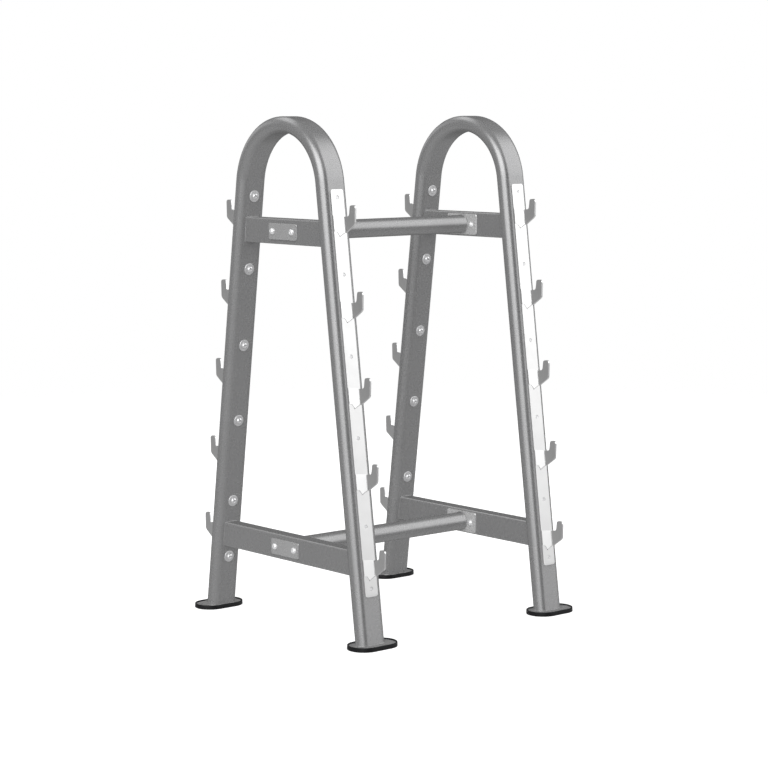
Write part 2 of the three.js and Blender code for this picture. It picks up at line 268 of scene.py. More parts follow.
def curve(start, control, end, steps):
    """Points on a quadratic curve, both ends included."""
    points = []
    for i in range(steps + 1):
        t = i / steps
        points.append(tuple(
            (1 - t) ** 2 * a + 2 * t * (1 - t) * b + t**2 * c for a, b, c in zip(start, control, end)
        ))
    return points


def racetrack(length, width, steps):
    """A rectangle with half-round ends."""
    radius = width / 2
    reach = length / 2 - radius
    return arc((reach, 0), radius, -90, 90, steps) + arc((-reach, 0), radius, 90, 270, steps)


def rounded_rectangle(width, height, radius):
    x = width / 2 - radius
    y = height / 2 - radius
    return (
        arc((x, -y), radius, -90, 0, CORNER_STEPS)
        + arc((x, y), radius, 0, 90, CORNER_STEPS)
        + arc((-x, y), radius, 90, 180, CORNER_STEPS)
        + arc((-x, -y), radius, 180, 270, CORNER_STEPS)
    )


def circle(radius, sides=TURNED_SIDES):
    return arc((0, 0), radius, 0, 360, sides)[:-1]


def hexagon(across_flats):
    """A hexagon with as many points as a circle, so the two can be joined."""
    points = []
    for i in range(TURNED_SIDES):
        angle = 2 * math.pi * i / TURNED_SIDES
        off_flat = (angle + HEXAGON_SIDE_ANGLE / 2) % HEXAGON_SIDE_ANGLE - HEXAGON_SIDE_ANGLE / 2
        radius = across_flats / 2 / math.cos(off_flat)
        points.append((radius * math.cos(angle), radius * math.sin(angle)))
    return points


# Meshes


def loft(bm, rings, ends="capped"):
    """Joins rings of points with quads. The ends are capped, or joined to each other."""
    rows = [[bm.verts.new(point) for point in ring] for ring in rings]
    pairs = list(zip(rows, rows[1:]))
    if ends == "joined":
        pairs.append((rows[-1], rows[0]))
    for low, high in pairs:
        for i in range(len(low)):
            bm.faces.new((low[i - 1], low[i], high[i], high[i - 1]))
    if ends == "capped":
        bm.faces.new(reversed(rows[0]))
        bm.faces.new(rows[-1])


def turned(bm, rings, ends="capped"):
    """A form along Z from (outline, height) pairs, each outline with the same number of points."""
    loft(bm, [[(x, y, height) for x, y in outline] for outline, height in rings], ends)


def slab(bm, outline, thickness, holes=()):
    """A flat plate in the XY plane, from Z = 0 to its thickness, with holes through it."""
    for loop in (outline, *holes):
        verts = [bm.verts.new((x, y, 0)) for x, y in loop]
        for i in range(len(verts)):
            bm.edges.new((verts[i - 1], verts[i]))
    if holes:
        bmesh.ops.triangle_fill(bm, use_beauty=True, edges=bm.edges[:])
    else:
        bm.faces.new(bm.verts[:])
    lifted = bmesh.ops.extrude_face_region(bm, geom=bm.faces[:])["geom"]
    verts = [v for v in lifted if isinstance(v, bmesh.types.BMVert)]
    bmesh.ops.translate(bm, vec=(0, 0, thickness), verts=verts)
    bmesh.ops.recalc_face_normals(bm, faces=bm.faces)


def round_edges(bm, width):
    bm.edges.ensure_lookup_table()
    sharp = [e for e in bm.edges if len(e.link_faces) == 2 and e.calc_face_angle() > BEVEL_FROM]
    bmesh.ops.bevel(bm, geom=sharp, offset=width, segments=BEVEL_STEPS, profile=0.5, affect="EDGES")


def finished(bm, name, sharp=SHARP_FROM):
    """The mesh of a bmesh, shaded smooth but for its sharp edges."""
    bmesh.ops.recalc_face_normals(bm, faces=bm.faces)
    mesh = bpy.data.meshes.new(name)
    bm.to_mesh(mesh)
    bm.free()
    mesh.shade_smooth()
    mesh.set_sharp_from_angle(angle=sharp)
    return mesh


def on_edge_along_x(start):
    """Stands a slab up in the YZ plane, with its thickness from X = start onwards."""
    return Matrix(((0, 0, 1, start), (1, 0, 0, 0), (0, 1, 0, 0), (0, 0, 0, 1)))


def on_edge_behind(face):
    """Stands a slab up in the XZ plane, with its thickness from Y = face backwards."""
    return Matrix(((1, 0, 0, 0), (0, 0, -1, face), (0, 1, 0, 0), (0, 0, 0, 1)))


def plate_mesh(name, outline, thickness, edge, turn, holes=()):
    """A flat plate with softened edges, turned from the XY plane to where it belongs."""
    bm = bmesh.new()
    slab(bm, outline, thickness, holes)
    round_edges(bm, edge)
    bm.transform(turn)
    return finished(bm, name)


# Weld beads, each a rippled round rope along a path of (point, outward direction) pairs


def place_on(lengths, distance):
    """Which span of a path a distance along it falls in, and the share of that span before it."""
    index = 0
    while index < len(lengths) - 1 and distance > lengths[index]:
        distance -= lengths[index]
        index += 1
    return index, distance / lengths[index]


def bead_ring(centre, along, out, radius):
    """The points round a bead at one place on its path."""
    side = along.cross(out).normalized()
    angles = [2 * math.pi * k / BEAD_SIDES for k in range(BEAD_SIDES)]
    return [centre + (out * math.cos(a) + side * math.sin(a)) * radius for a in angles]


def bead(bm, path, radius, closed):
    points = [point for point, _ in path]
    spans = list(zip(points, points[1:] + points[:1] if closed else points[1:]))
    lengths = [(end - start).length for start, end in spans]
    steps = max(BEAD_MIN_RIPPLES, round(sum(lengths) / BEAD_RIPPLE)) * STEPS_PER_RIPPLE
    rings = []
    for i in range(steps if closed else steps + 1):
        index, share = place_on(lengths, sum(lengths) * i / steps)
        start, end = spans[index]
        out = path[index][1].lerp(path[(index + 1) % len(path)][1], share).normalized()
        ripple = math.sin(2 * math.pi * i / STEPS_PER_RIPPLE + BEAD_PHASE)
        swell = radius * (1 + BEAD_SWELL * ripple)
        rings.append(bead_ring(start.lerp(end, share), (end - start).normalized(), out, swell))
    loft(bm, rings, "joined" if closed else "capped")


def bead_round_mesh(name, ring, middle, radius):
    """A closed bead along a ring of points."""
    bm = bmesh.new()
    bead(bm, [(p, (p - middle).normalized()) for p in ring], radius, closed=True)
    return finished(bm, name)


# Materials

# Sprayed paint. Each grain is a noise scale, in waves to the metre.
COAT_GLOSS_GRAIN = 45
COAT_GLOSS_SPREAD = 0.02
COAT_SHADES = (0.98, 1.02)
CLOUD_GRAIN = 9
FLAKE_GRAIN = 2600
ORANGE_PEEL_GRAIN = 420
ORANGE_PEEL_STRENGTH = 0.02
ORANGE_PEEL_DEPTH = 0.0003

# Zinc plating
PLATING_CLOUD_GRAIN = 160
PLATING_SHADES = (0.94, 1.03)
PLATING_GLOSS_GRAIN = 700
PLATING_GLOSS_SPREAD = 0.06
PLATING_BUMP_GRAIN = 1500
PLATING_BUMP_STRENGTH = 0.05
PLATING_BUMP_DEPTH = 0.0002
PLATING_METALLIC = 0.8

# Moulded rubber
RUBBER_GREY = (0.008, 0.008, 0.009)
RUBBER_PATCH_GRAIN = 60
RUBBER_SHADES = (0.8, 1.5)
RUBBER_GLOSS_GRAIN = 220
RUBBER_ROUGHNESS = (0.3, 0.45)
RUBBER_PORE_GRAIN = 1100
RUBBER_PORE_STRENGTH = 0.15
RUBBER_PORE_DEPTH = 0.0004
RUBBER_SPECULAR = 0.2

# Where most values of a noise lie
NOISE_MIDDLE = (0.3, 0.7)


class Graph:
    """Short ways to build a node tree."""

    def __init__(self, tree):
        self.tree = tree

    def add(self, kind, **settings):
        node = self.tree.nodes.new(kind)
        for key, value in settings.items():
            setattr(node, key, value)
        return node

    def link(self, output, target):
        self.tree.links.new(output, target)

    def math(self, operation, first, second):
        node = self.add("ShaderNodeMath", operation=operation)
        self.link(first, node.inputs[0])
        self.link(second, node.inputs[1])
        return node.outputs["Value"]

    def ramp(self, value, start, end, low, high, interpolation="LINEAR"):
        """Maps start to end onto low to high."""
        node = self.add("ShaderNodeMapRange", interpolation_type=interpolation)
        limits = {"From Min": start, "From Max": end, "To Min": low, "To Max": high}
        for socket, number in limits.items():
            node.inputs[socket].default_value = number
        self.link(value, node.inputs["Value"])
        return node.outputs["Result"]


class Paint(Graph):
    """A material's node tree, with its Principled shader ready."""

    def __init__(self, name):
        self.material = bpy.data.materials.new(name)
        self.material.use_nodes = True
        super().__init__(self.material.node_tree)
        self.shader = self.tree.nodes["Principled BSDF"]
        self.place = self.add("ShaderNodeTexCoord").outputs["Object"]

    def set(self, **numbers):
        """Sets the shader's own sockets, named with underscores for spaces."""
        for key, number in numbers.items():
            self.shader.inputs[key.replace("_", " ")].default_value = number

    def noise(self, scale, detail=2):
        node = self.add("ShaderNodeTexNoise")
        node.inputs["Scale"].default_value = scale
        node.inputs["Detail"].default_value = detail
        self.link(self.place, node.inputs["Vector"])
        return node.outputs["Fac"]

    def spread(self, noise, low, high):
        """Maps the middle of a noise onto low to high."""
        return self.ramp(noise, *NOISE_MIDDLE, low, high)

    def colour(self, grey, shade):
        """A grey whose brightness is multiplied by a shade."""
        node = self.add("ShaderNodeMix", data_type="RGBA", blend_type="MULTIPLY")
        node.inputs["Factor"].default_value = 1
        node.inputs["A"].default_value = (*grey, 1)
        self.link(shade, node.inputs["B"])
        self.link(node.outputs["Result"], self.shader.inputs["Base Color"])

    def roughness(self, value):
        self.link(value, self.shader.inputs["Roughness"])

    def bump(self, height, strength, distance):
        node = self.add("ShaderNodeBump")
        node.inputs["Strength"].default_value = strength
        node.inputs["Distance"].default_value = distance
        self.link(height, node.inputs["Height"])
        self.link(node.outputs["Normal"], self.shader.inputs["Normal"])


def metallic_paint(name, grey, metallic, roughness):
    """A sprayed coat: faint clouding, small differences in gloss, and orange peel."""
    paint = Paint(name)
    gloss = paint.noise(COAT_GLOSS_GRAIN, detail=3)
    paint.roughness(paint.spread(gloss, roughness - COAT_GLOSS_SPREAD, roughness + COAT_GLOSS_SPREAD))
    paint.bump(paint.noise(ORANGE_PEEL_GRAIN), ORANGE_PEEL_STRENGTH, ORANGE_PEEL_DEPTH)
    flakes = paint.spread(paint.noise(FLAKE_GRAIN, detail=1), *COAT_SHADES)
    clouds = paint.spread(paint.noise(CLOUD_GRAIN, detail=3), *COAT_SHADES)
    paint.colour(grey, paint.math("MULTIPLY", flakes, clouds))
    paint.set(Metallic=metallic)
    return paint.material


def plated_steel(name, grey, roughness):
    """Zinc plating: satin, with small differences in polish."""
    paint = Paint(name)
    paint.colour(grey, paint.spread(paint.noise(PLATING_CLOUD_GRAIN, detail=3), *PLATING_SHADES))
    gloss = paint.noise(PLATING_GLOSS_GRAIN)
    paint.roughness(paint.spread(gloss, roughness - PLATING_GLOSS_SPREAD, roughness + PLATING_GLOSS_SPREAD))
    paint.bump(paint.noise(PLATING_BUMP_GRAIN, detail=1), PLATING_BUMP_STRENGTH, PLATING_BUMP_DEPTH)
    paint.set(Metallic=PLATING_METALLIC)
    return paint.material


def moulded_rubber(name):
    """Black rubber: fine pores, a slight sheen and greyer patches."""
    paint = Paint(name)
    paint.colour(RUBBER_GREY, paint.spread(paint.noise(RUBBER_PATCH_GRAIN, detail=4), *RUBBER_SHADES))
    paint.roughness(paint.spread(paint.noise(RUBBER_GLOSS_GRAIN, detail=3), *RUBBER_ROUGHNESS))
    paint.bump(paint.noise(RUBBER_PORE_GRAIN, detail=3), RUBBER_PORE_STRENGTH, RUBBER_PORE_DEPTH)
    paint.set(Specular_IOR_Level=RUBBER_SPECULAR)
    return paint.material


SILVER = metallic_paint("silver_paint", (0.30, 0.30, 0.303), 0.5, 0.27)
PLATE_SILVER = metallic_paint("plate_paint", (0.48, 0.48, 0.483), 0.5, 0.27)
# A lighter copy of the plate paint for the tie end plates: painted light, for the light they catch around
# the tie tube and bolts.
END_LIT_SILVER = metallic_paint("end_plate_paint_painted_light", (0.64, 0.64, 0.643), 0.5, 0.27)
STRIP_SILVER = metallic_paint("strip_paint", (0.68, 0.68, 0.68), 1, 0.3)
# The hook's flange is a slightly lighter copy of the cheek's paint: painted light, in place of the light
# that the cheek's shade takes off it.
FLANGE_LIT_SILVER = metallic_paint("flange_paint_painted_light", (0.82, 0.82, 0.82), 1, 0.3)
CHEEK_SILVER = metallic_paint("cheek_paint", (0.80, 0.80, 0.80), 1, 0.3)
# The hook's weld beads are real, but their darker grey is painted shade along the flange's lower edge and
# the cheek's root.
WELD_SHADE_SILVER = metallic_paint("weld_paint_painted_shade", (0.5, 0.5, 0.5), 1, 0.4)
ZINC = plated_steel("zinc_plate", (0.72, 0.72, 0.73), 0.36)
# A whiter, rougher copy of the zinc plating for the tie bolts and cap nuts: a painted highlight, so their
# heads read as larger bright spots.
HIGHLIGHT_ZINC = plated_steel("zinc_plate_painted_highlight", (0.97, 0.97, 0.98), 0.46)
RUBBER = moulded_rubber("black_rubber")

HOOK_PAINTS = {"hook_cheek": CHEEK_SILVER, "hook_flange": FLANGE_LIT_SILVER, "hook_weld": WELD_SHADE_SILVER}


# Side frames


def arch_stations():
    """Points on the bent tube's axis with its outward direction, from the front foot to the back one."""
    up = Vector((0, -math.sin(LEAN), math.cos(LEAN)))
    out = Vector((0, math.cos(LEAN), math.sin(LEAN)))
    foot = Vector((0, FOOT_HALF_SPREAD, 0))
    centre = Vector((0, 0, ARCH_CENTRE))
    back = [(foot + up * LEG_LENGTH * share, out) for share in LEG_STATIONS]
    front = [(Vector((0, -p.y, p.z)), Vector((0, -o.y, o.z))) for p, o in back]
    bend = []
    for i in range(BEND_STEPS + 1):
        angle = lerp(math.pi - LEAN, LEAN, i / BEND_STEPS)
        normal = Vector((0, math.cos(angle), math.sin(angle)))
        bend.append((centre + normal * ARCH_RADIUS, normal))
    return front + bend + back[::-1]


def arch_ring(section, station):
    """The section set square to the axis, or cut level just above the foot plate at the feet."""
    axis, out = station
    ring = []
    for across, depth in section:
        point = axis + Vector((across, 0, 0)) + out * depth
        if axis.z == 0:
            up = Vector((0, -out.z * math.copysign(1, out.y), abs(out.y)))
            point += up * ((FOOT_TOP - point.z) / up.z)
        ring.append(point)
    return ring


def arch_mesh():
    bm = bmesh.new()
    outer = racetrack(TUBE_WIDTH, TUBE_DEPTH, TUBE_END_STEPS)
    inner = racetrack(TUBE_WIDTH - 2 * TUBE_WALL, TUBE_DEPTH - 2 * TUBE_WALL, TUBE_END_STEPS)
    stations = arch_stations()
    skin = [arch_ring(outer, s) for s in stations]
    bore = [arch_ring(inner, s) for s in reversed(stations)]
    loft(bm, skin + bore, "joined")
    return finished(bm, "arch_tube")


def inner_flat_y(height):
    """How far a leg's inner flat is from the middle of the frame, at a height."""
    return FOOT_HALF_SPREAD - height * math.tan(LEAN) - TUBE_ROUND / math.cos(LEAN)


def bar_end(level, side):
    """A crossbar's outline, laid on the inner flat of the leg on that side."""
    outline = rounded_rectangle(BAR_THICKNESS, BAR_HEIGHT, BAR_CORNER)
    return [Vector((x, side * inner_flat_y(level + z), z)) for x, z in outline]


def crossbar_mesh(level):
    bm = bmesh.new()
    loft(bm, [bar_end(level, side) for side in END_SIDES.values()])
    return finished(bm, "crossbar")


def bar_bead_mesh(level, side):
    """Weld round a crossbar's end."""
    ring = bar_end(level, side)
    middle = sum(ring, Vector()) / len(ring)
    return bead_round_mesh("crossbar_weld", ring, middle, BAR_BEAD)


def upright_plate_mesh(name, size):
    """A plate square to X, centred."""
    length, height, thickness = size
    outline = rounded_rectangle(length, height, PLATE_CORNER)
    return plate_mesh(name, outline, thickness, PLATE_EDGE, on_edge_along_x(-thickness / 2))


def tie_tube_mesh(length):
    """A hollow tube along X, centred."""
    bm = bmesh.new()
    outer = circle(TIE_RADIUS, TIE_TUBE_SIDES)
    inner = circle(TIE_RADIUS - TIE_WALL, TIE_TUBE_SIDES)
    start = -length / 2
    end = length / 2
    rings = ((outer, start), (outer, end), (inner, end), (inner, start))
    loft(bm, [[(x, y, z) for y, z in outline] for outline, x in rings], "joined")
    return finished(bm, "tie_tube")


def tie_bead_mesh():
    """Weld round a tie tube's end, in the plane of its plate."""
    ring = [Vector((0, y, z)) for y, z in circle(TIE_RADIUS, TIE_TUBE_SIDES)]
    return bead_round_mesh("tie_weld", ring, Vector(), TIE_BEAD)


# Fasteners, along Z with the seat of the head or nut at Z = 0


def domed_head():
    """Rings of a button head, from its socket's floor up over the crown and down to the seat."""
    socket = SOCKET_ACROSS_FLATS
    crown = socket / 2 / math.cos(HEXAGON_SIDE_ANGLE / 2) + 2 * SOCKET_LIP
    rings = [
        (hexagon(socket * HOLLOW_TIP_SHARE), HEAD_HEIGHT - SOCKET_DEPTH - SOCKET_LIP),
        (hexagon(socket), HEAD_HEIGHT - SOCKET_DEPTH),
        (hexagon(socket), HEAD_HEIGHT - 2 * SOCKET_LIP),
        (hexagon(socket + 2 * SOCKET_LIP), HEAD_HEIGHT - SOCKET_LIP),
        (circle(crown), HEAD_HEIGHT - SOCKET_LIP),
    ]
    top = math.acos(crown / HEAD_RADIUS)
    dome = HEAD_HEIGHT - SOCKET_LIP - HEAD_RIM
    for i in range(1, DOME_STEPS + 1):
        angle = lerp(top, 0, i / DOME_STEPS)
        height = HEAD_RIM + dome * math.sin(angle) / math.sin(top)
        rings.append((circle(HEAD_RADIUS * math.cos(angle)), height))
    rings.append((circle(HEAD_RADIUS), HEAD_SEAT_EDGE))
    rings.append((circle(HEAD_RADIUS - HEAD_SEAT_EDGE), 0))
    return rings


def shank(length):
    """Rings of a shank from under the head down to its tip, which has a centre dimple."""
    return [
        (circle(BOLT_RADIUS), 0),
        (circle(BOLT_RADIUS), -length + BOLT_TIP_CHAMFER),
        (circle(BOLT_RADIUS - BOLT_TIP_CHAMFER), -length),
        (circle(BOLT_DIMPLE_RADIUS), -length),
        (circle(BOLT_DIMPLE_RADIUS * HOLLOW_TIP_SHARE), -length + BOLT_DIMPLE_DEPTH),
    ]


def bolt_mesh(name, length):
    bm = bmesh.new()
    turned(bm, domed_head() + shank(length))
    return finished(bm, name)


def washer_mesh():
    bm = bmesh.new()
    bore = circle(BOLT_HOLE_RADIUS)
    flat = circle(WASHER_RADIUS - WASHER_EDGE)
    rim = circle(WASHER_RADIUS)
    rings = [
        (bore, 0),
        (flat, 0),
        (rim, WASHER_EDGE),
        (rim, WASHER_THICKNESS - WASHER_EDGE),
        (flat, WASHER_THICKNESS),
        (bore, WASHER_THICKNESS),
    ]
    turned(bm, rings, "joined")
    return finished(bm, "washer")


def cap_nut_mesh():
    """A hexagon nut with a domed cap that points up."""
    bm = bmesh.new()
    flats = hexagon(NUT_ACROSS_FLATS)
    chamfer = circle(NUT_ACROSS_FLATS / 2 - NUT_CHAMFER)
    rings = [
        (chamfer, 0),
        (flats, NUT_CHAMFER_RISE),
        (flats, NUT_HEIGHT - NUT_CHAMFER_RISE),
        (chamfer, NUT_HEIGHT),
    ]
    cap_radius = NUT_ACROSS_FLATS / 2 - CAP_INSET
    for i in range(DOME_STEPS + 1):
        angle = math.radians(lerp(0, CAP_TOP_ANGLE, i / DOME_STEPS))
        height = NUT_HEIGHT + CAP_HEIGHT * math.sin(angle)
        rings.append((circle(cap_radius * math.cos(angle)), height))
    turned(bm, rings)
    return finished(bm, "cap_nut")


# Hook strips, in leg space


def strip_mesh():
    """The strip, with holes for the ends of its bolts."""
    length = STRIP_TOP - STRIP_BOTTOM
    middle = (STRIP_TOP + STRIP_BOTTOM) / 2
    outline = [(x, z + middle) for x, z in rounded_rectangle(STRIP_WIDTH, length, STRIP_CORNER)]
    hole = circle(BOLT_HOLE_RADIUS, HOLE_SIDES)
    holes = [[(x, z + place) for x, z in hole] for place in bolt_places()]
    turn = on_edge_behind(STRIP_OUTER_FACE)
    return plate_mesh("hook_strip", outline, STRIP_THICKNESS, STRIP_EDGE, turn, holes)


# Hooks, in saddle space: X across the strip, Y outwards from its face, Z up from the saddle's floor


def tip_inner(rise):
    """How far out the inner edge of the hook's tip is, at a height."""
    return SADDLE_LENGTH + rise * TIP_INNER_SLOPE


def hook_outer(rise):
    """How far out the hook's outer edge is, at a height."""
    return HOOK_REACH + (rise - HOOK_SHOULDER) * HOOK_OUTER_SLOPE


def hook_under(reach):
    """How high the hook's underside is, at a distance from the strip."""
    return reach * UNDERSIDE_SLOPE - HOOK_ROOT_DROP


def knee_curve():
    """The rounded corner where the hook's underside and its outer edge meet."""
    reach = (HOOK_REACH - (HOOK_ROOT_DROP + HOOK_SHOULDER) * HOOK_OUTER_SLOPE) / (
        1 - UNDERSIDE_SLOPE * HOOK_OUTER_SLOPE
    )
    rise = hook_under(reach)
    start = (reach - HOOK_KNEE_RUN, hook_under(reach - HOOK_KNEE_RUN))
    end = (hook_outer(rise + HOOK_KNEE_RUN), rise + HOOK_KNEE_RUN)
    return curve(start, (reach, rise), end, KNEE_STEPS)


def tip_curves():
    """The round of the hook's tip, then the small one at the tip's inner corner."""
    top = HOOK_TIP_RISE
    inner = tip_inner(top)
    below = top - TIP_CORNER
    shoulder = (HOOK_REACH, HOOK_SHOULDER)
    tip = curve(shoulder, (hook_outer(top), top), (inner + TIP_LENGTH, top), TIP_STEPS)
    corner = curve((inner + TIP_CORNER, top), (inner, top), (tip_inner(below), below), TIP_CORNER_STEPS)
    return tip + corner


def saddle_curve():
    """The round between the tip's inner edge and the saddle's floor."""
    start = (tip_inner(SADDLE_RADIUS), SADDLE_RADIUS)
    end = (SADDLE_LENGTH - SADDLE_RADIUS, 0)
    return curve(start, (SADDLE_LENGTH, 0), end, SADDLE_STEPS)


def cheek_mesh():
    """The plate that a stored bar rests on."""
    root = [(FLANGE_THICKNESS, 0), (FLANGE_THICKNESS, hook_under(FLANGE_THICKNESS))]
    outline = root + knee_curve() + tip_curves() + saddle_curve()
    turn = on_edge_along_x(-STRIP_WIDTH / 2)
    return plate_mesh("hook_cheek", outline, CHEEK_THICKNESS, CHEEK_EDGE, turn)


def flange_mesh():
    """The plate that lies on the strip."""
    edge = STRIP_WIDTH / 2
    outline = [
        (-edge, 0),
        (-edge, (FLANGE_VERTEX_OFFSET + edge) * UNDERSIDE_SLOPE - FLANGE_VERTEX_DROP),
        (FLANGE_VERTEX_OFFSET, -FLANGE_VERTEX_DROP),
        (FLANGE_STEP_OFFSET, -FLANGE_STEP_DROP),
        (edge, -FLANGE_END_DROP),
        (edge, FLANGE_TOP_RISE),
    ]
    turn = on_edge_behind(FLANGE_THICKNESS)
    return plate_mesh("hook_flange", outline, FLANGE_THICKNESS, FLANGE_EDGE, turn)


def hook_bead_mesh():
    """Welds of a hook: cheek to flange, and under the flange from its lowest point to the cheek."""
    bm = bmesh.new()
    inside = CHEEK_THICKNESS - STRIP_WIDTH / 2
    lowest = FLANGE_VERTEX_DROP - (FLANGE_VERTEX_OFFSET - inside) * UNDERSIDE_SLOPE
    upright = [(Vector((inside, FLANGE_THICKNESS, z)), Vector((0, 1, 0))) for z in (0, -lowest)]
    under = [
        (Vector((x, 0, z)), Vector((0, 0, -1)))
        for x, z in ((FLANGE_VERTEX_OFFSET, -FLANGE_VERTEX_DROP), (inside, -lowest))
    ]
    bead(bm, upright, CHEEK_BEAD, closed=False)
    bead(bm, under, HOOK_BEAD, closed=False)
    return finished(bm, "hook_weld")


# Feet


def foot_plate_mesh():
    margin = 2 * (PAD_RIM + FOOT_PLATE_GAP)
    outline = racetrack(PAD_LENGTH - margin, PAD_WIDTH - margin, FOOT_END_STEPS)
    lift = Matrix.Translation((0, 0, PAD_FLOOR))
    return plate_mesh("foot_plate", outline, FOOT_PLATE_THICKNESS, FOOT_PLATE_EDGE, lift)


def foot_pad_mesh():
    """A shallow rubber tray: rounded foot, slightly drafted side, rounded rim and a flat floor."""
    bm = bmesh.new()
    rings = [
        (racetrack(PAD_LENGTH - 2 * inset, PAD_WIDTH - 2 * inset, FOOT_END_STEPS), height)
        for inset, height in PAD_WALL
    ]
    turned(bm, rings)
    return finished(bm, "foot_pad", PAD_SHARP_FROM)


def foot_bead_mesh():
    """Weld round a leg's lower end, with the origin where the leg's axis meets the floor."""
    station = (Vector((0, 0, 0)), Vector((0, math.cos(LEAN), math.sin(LEAN))))
    ring = arch_ring(racetrack(TUBE_WIDTH, TUBE_DEPTH, FOOT_BEAD_END_STEPS), station)
    middle = sum(ring, Vector()) / len(ring)
    return bead_round_mesh("foot_weld", ring, middle, FOOT_BEAD)


# Assembly


def piece(name, mesh, material, matrix, stands_for=None):
    """An object of the rack that rides on its one body. The pieces don't mirror each other."""
    shown = bpy.data.objects.new(name, mesh)
    bpy.context.scene.collection.objects.link(shown)
    shown.matrix_world = matrix
    shown.visible_glossy = False
    if not mesh.materials:
        mesh.materials.append(material)
    flats = shown.modifiers.new("even_flats", "WEIGHTED_NORMAL")
    flats.keep_sharp = True
    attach(shown, "root")
    if stands_for:
        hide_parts(stands_for)


def towards(origin, direction):
    """A matrix that sets Z along a level direction, with Y upwards."""
    z = Vector(direction).normalized()
    x = Vector((0, 0, 1)).cross(z).normalized()
    y = z.cross(x)
    return Matrix.Translation(origin) @ Matrix((x, y, z)).transposed().to_4x4()


def build_hooks(label, leg, places, meshes):
    for index, place in enumerate(places, 1):
        saddle = leg @ Matrix.Translation((0, STRIP_OUTER_FACE, place))
        for kind, paint in HOOK_PAINTS.items():
            piece(f"{kind}_{label}_{index}", meshes[kind], paint, saddle)


def build_strip_bolts(label, leg, meshes):
    for index, place in enumerate(bolt_places(), 1):
        seat = leg @ towards((0, -TUBE_ROUND, place), (0, -1, 0))
        on_washer = seat @ Matrix.Translation((0, 0, WASHER_THICKNESS))
        piece(f"washer_{label}_{index}", meshes["washer"], ZINC, seat)
        piece(f"bolt_{label}_{index}", meshes["strip_bolt"], ZINC, on_washer,
              f"strip_bolt_{label}_{index}")


def build_foot(label, turn, meshes):
    pad = box_centre(f"foot_pad_{label}")
    facing = Matrix.Rotation(turn, 4, "Z")
    foot = Matrix.Translation((pad.x, pad.y, 0)) @ facing
    ankle = Matrix.Translation((pad.x, 0, 0)) @ facing @ Matrix.Translation((0, FOOT_HALF_SPREAD, 0))
    piece(f"steel_foot_{label}", meshes["foot_plate"], PLATE_SILVER, foot,
          f"foot_plate_{label}")
    piece(f"rubber_foot_{label}", meshes["foot_pad"], RUBBER, foot, f"foot_pad_{label}")
    piece(f"foot_weld_{label}", meshes["foot_bead"], SILVER, ankle)


def build_leg(frame_name, leg_name, meshes):
    label = f"{frame_name}_{leg_name}"
    leg = leg_matrix(frame_name, leg_name)
    piece(f"strip_{label}", meshes["strip"], STRIP_SILVER, leg, f"hook_strip_{label}")
    build_hooks(label, leg, saddle_places(leg_name), meshes)
    build_strip_bolts(label, leg, meshes)
    build_foot(label, LEG_TURNS[leg_name], meshes)


def build_tie_bolts(label, inward, head_seat, nut_seat, height, meshes):
    """The two bolts through a crossbar and its plates, with their cap nuts."""
    for end_name, side in END_SIDES.items():
        y = side * TIE_BOLT_SPACING / 2
        head = towards((head_seat, y, height), (-inward, 0, 0))
        nut = towards((nut_seat, y, height), (inward, 0, 0))
        piece(f"through_bolt_{label}_{end_name}", meshes["tie_bolt"], HIGHLIGHT_ZINC, head,
              f"tie_bolt_{label}_{end_name}")
        piece(f"cap_nut_{label}_{end_name}", meshes["cap_nut"], HIGHLIGHT_ZINC, nut)


def build_crossbar(frame_name, level_name, meshes):
    """A crossbar with all that is fixed to it. Returns how far along X the tie tube starts."""
    label = f"{level_name}_{frame_name}"
    inward = INWARD[frame_name]
    centre = box_centre(f"crossbar_{label}")
    end_plate = box_centre(f"tie_end_plate_{label}")
    back_plate = box_centre(f"backing_plate_{label}")
    head_seat = back_plate.x - inward * BACK_PLATE[2] / 2
    nut_seat = end_plate.x + inward * END_PLATE[2] / 2
    bar = Matrix.Translation(centre)
    piece(f"bar_{label}", crossbar_mesh(centre.z), SILVER, bar, f"crossbar_{label}")
    for end_name, side in END_SIDES.items():
        piece(f"bar_weld_{label}_{end_name}", bar_bead_mesh(centre.z, side), SILVER, bar)
    piece(f"end_plate_{label}", meshes["end_plate"], END_LIT_SILVER, Matrix.Translation(end_plate),
          f"tie_end_plate_{label}")
    piece(f"back_plate_{label}", meshes["back_plate"], PLATE_SILVER, Matrix.Translation(back_plate),
          f"backing_plate_{label}")
    build_tie_bolts(label, inward, head_seat, nut_seat, centre.z, meshes)
    collar = Matrix.Translation((nut_seat, 0, centre.z))
    piece(f"tie_weld_{label}", meshes["tie_bead"], SILVER, collar)
    return nut_seat


def shared_meshes():
    """The meshes that several pieces use."""
    strip_bolt_length = TUBE_DEPTH + STRIP_SEAT_GAP + STRIP_THICKNESS + WASHER_THICKNESS - BOLT_TIP_INSET
    tie_bolt_length = BACK_PLATE[2] + BAR_THICKNESS + END_PLATE[2] + NUT_HEIGHT
    return {
        "strip": strip_mesh(),
        "hook_cheek": cheek_mesh(),
        "hook_flange": flange_mesh(),
        "hook_weld": hook_bead_mesh(),
        "washer": washer_mesh(),
        "strip_bolt": bolt_mesh("strip_bolt", strip_bolt_length),
        "tie_bolt": bolt_mesh("tie_bolt", tie_bolt_length),
        "cap_nut": cap_nut_mesh(),
        "foot_plate": foot_plate_mesh(),
        "foot_pad": foot_pad_mesh(),
        "foot_bead": foot_bead_mesh(),
        "end_plate": upright_plate_mesh("end_plate", END_PLATE),
        "back_plate": upright_plate_mesh("back_plate", BACK_PLATE),
        "tie_bead": tie_bead_mesh(),
    }


